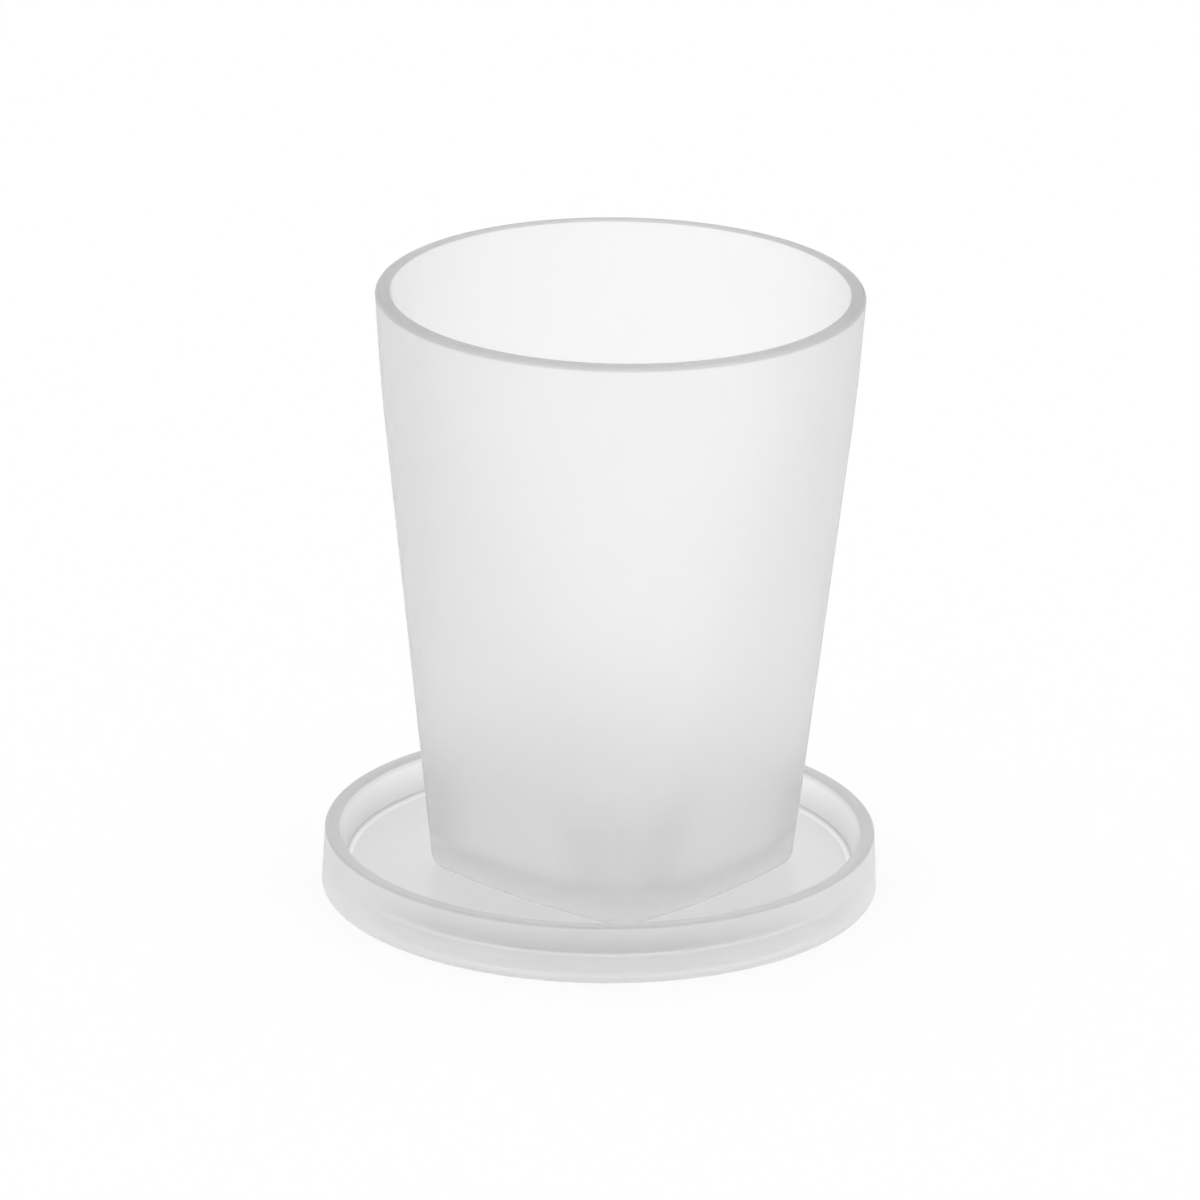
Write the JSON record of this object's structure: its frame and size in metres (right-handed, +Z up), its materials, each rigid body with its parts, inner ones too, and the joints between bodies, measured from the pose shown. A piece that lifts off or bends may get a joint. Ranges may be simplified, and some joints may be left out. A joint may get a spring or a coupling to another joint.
{
  "type": "bathroom tumbler",
  "caption": "Frosted bathroom tumbler with a round mouth that tapers to a rounded square foot, standing loose on a shallow round saucer.",
  "frame": {"origin": "middle of the saucer's foot ring, on the shelf", "axes": "+Z up through the saucer's axis; +X and +Y square to the flats of the tumbler's foot"},
  "size_m": [0.092, 0.092, 0.1028],
  "materials": {
    "frosted_saucer": "translucent frosted, satin, with a smoother floor",
    "frosted_tumbler": "translucent frosted, satin"
  },
  "bodies": {
    "saucer": {"saucer": "frosted_saucer"},
    "tumbler": {"tumbler": "frosted_tumbler"}
  },
  "joints": [
    {"name": "tumbler_lift", "type": "slide", "parent": "saucer", "child": "tumbler", "axis": [0, 0, 1], "range_m": [0, 0.06]}
  ]
}
